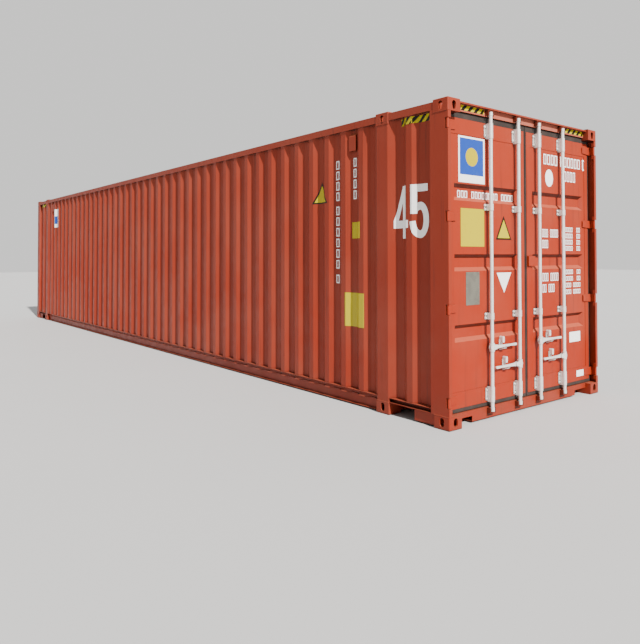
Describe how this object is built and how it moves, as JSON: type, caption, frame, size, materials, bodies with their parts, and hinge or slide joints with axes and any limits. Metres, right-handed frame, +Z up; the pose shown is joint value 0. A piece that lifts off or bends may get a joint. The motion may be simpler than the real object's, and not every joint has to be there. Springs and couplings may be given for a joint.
{
  "type": "shipping container",
  "caption": "Long high dry-freight container with corrugated steel walls, cast lifting fittings and two hinged cargo doors with turning lock rods.",
  "frame": {"origin": "centre of the bottom of the whole container, on the plane of the bottom fittings", "axes": "X along the length with the doors at +X, Y across the width, +Z up"},
  "size_m": [13.716, 2.438, 2.896],
  "materials": {
    "wall_paint": "satin, weathered",
    "door_paint": "satin, weathered",
    "galvanised_steel": "hot-dip galvanised",
    "gasket_rubber": "matt",
    "floor_plywood": "oiled plywood"
  },
  "bodies": {
    "container": {"top_corner_fittings": "wall_paint", "bottom_corner_fittings": "wall_paint", "top_intermediate_fittings": "wall_paint", "bottom_intermediate_fittings": "wall_paint", "front_corner_posts": "wall_paint", "left_door_post": "wall_paint", "right_door_post": "wall_paint", "left_intermediate_posts": "wall_paint", "right_intermediate_posts": "wall_paint", "left_top_side_rail": "wall_paint", "right_top_side_rail": "wall_paint", "left_bottom_side_rail": "wall_paint", "right_bottom_side_rail": "wall_paint", "front_top_rail": "wall_paint", "front_bottom_sill": "wall_paint", "left_wall_panel": "wall_paint", "right_wall_panel": "wall_paint", "left_end_wall_panels": "wall_paint", "right_end_wall_panels": "wall_paint", "front_wall_panel": "wall_paint", "roof_panel": "wall_paint", "wall_vents": "wall_paint", "cross_members": "wall_paint", "intermediate_cross_beams": "wall_paint", "gooseneck_tunnel": "wall_paint", "tunnel_side_plates": "wall_paint", "roof_end_panels": "wall_paint", "door_header": "wall_paint", "door_sill": "wall_paint", "plywood_floor": "floor_plywood", "cam_keepers": "wall_paint", "left_hinge_lugs": "wall_paint", "right_hinge_lugs": "wall_paint"},
    "left_door": {"left_door_frame": "door_paint", "left_door_panel": "door_paint", "left_door_gasket": "gasket_rubber", "left_door_hinges": "door_paint", "left_door_rod_brackets": "galvanised_steel", "left_door_handle_retainers": "galvanised_steel"},
    "right_door": {"right_door_frame": "door_paint", "right_door_panel": "door_paint", "right_door_gasket": "gasket_rubber", "right_door_hinges": "door_paint", "right_door_rod_brackets": "galvanised_steel", "right_door_handle_retainers": "galvanised_steel", "centre_lock_plate": "door_paint"},
    "outer_left_rod": {"outer_left_lock_rod": "galvanised_steel", "outer_left_rod_forgings": "galvanised_steel"},
    "outer_left_handle": {"outer_left_handle": "galvanised_steel"},
    "inner_left_rod": {"inner_left_lock_rod": "galvanised_steel", "inner_left_rod_forgings": "galvanised_steel"},
    "inner_left_handle": {"inner_left_handle": "galvanised_steel"},
    "inner_right_rod": {"inner_right_lock_rod": "galvanised_steel", "inner_right_rod_forgings": "galvanised_steel"},
    "inner_right_handle": {"inner_right_handle": "galvanised_steel"},
    "outer_right_rod": {"outer_right_lock_rod": "galvanised_steel", "outer_right_rod_forgings": "galvanised_steel"},
    "outer_right_handle": {"outer_right_handle": "galvanised_steel"}
  },
  "joints": [
    {"name": "left_door_swing", "type": "hinge", "parent": "container", "child": "left_door", "pos_m": [6.838, -1.2, 1.45], "axis": [0, 0, -1], "range_deg": [0, 265]},
    {"name": "right_door_swing", "type": "hinge", "parent": "container", "child": "right_door", "pos_m": [6.838, 1.2, 1.45], "axis": [0, 0, 1], "range_deg": [0, 265]},
    {"name": "outer_left_rod_turn", "type": "hinge", "parent": "left_door", "child": "outer_left_rod", "pos_m": [6.83, -0.598, 1.45], "axis": [0, 0, 1], "range_deg": [-100, 0]},
    {"name": "outer_left_handle_lift", "type": "hinge", "parent": "outer_left_rod", "child": "outer_left_handle", "pos_m": [6.83, -0.546, 0.66444], "axis": [-1, 0, 0], "range_deg": [-22, 0]},
    {"name": "inner_left_rod_turn", "type": "hinge", "parent": "left_door", "child": "inner_left_rod", "pos_m": [6.83, -0.172, 1.45], "axis": [0, 0, -1], "range_deg": [-100, 0]},
    {"name": "inner_left_handle_lift", "type": "hinge", "parent": "inner_left_rod", "child": "inner_left_handle", "pos_m": [6.83, -0.224, 0.47027], "axis": [1, 0, 0], "range_deg": [-22, 0]},
    {"name": "inner_right_rod_turn", "type": "hinge", "parent": "right_door", "child": "inner_right_rod", "pos_m": [6.83, 0.172, 1.45], "axis": [0, 0, 1], "range_deg": [-100, 0]},
    {"name": "inner_right_handle_lift", "type": "hinge", "parent": "inner_right_rod", "child": "inner_right_handle", "pos_m": [6.83, 0.224, 0.66444], "axis": [-1, 0, 0], "range_deg": [-22, 0]},
    {"name": "outer_right_rod_turn", "type": "hinge", "parent": "right_door", "child": "outer_right_rod", "pos_m": [6.83, 0.598, 1.45], "axis": [0, 0, -1], "range_deg": [-100, 0]},
    {"name": "outer_right_handle_lift", "type": "hinge", "parent": "outer_right_rod", "child": "outer_right_handle", "pos_m": [6.83, 0.546, 0.47027], "axis": [1, 0, 0], "range_deg": [-22, 0]}
  ]
}
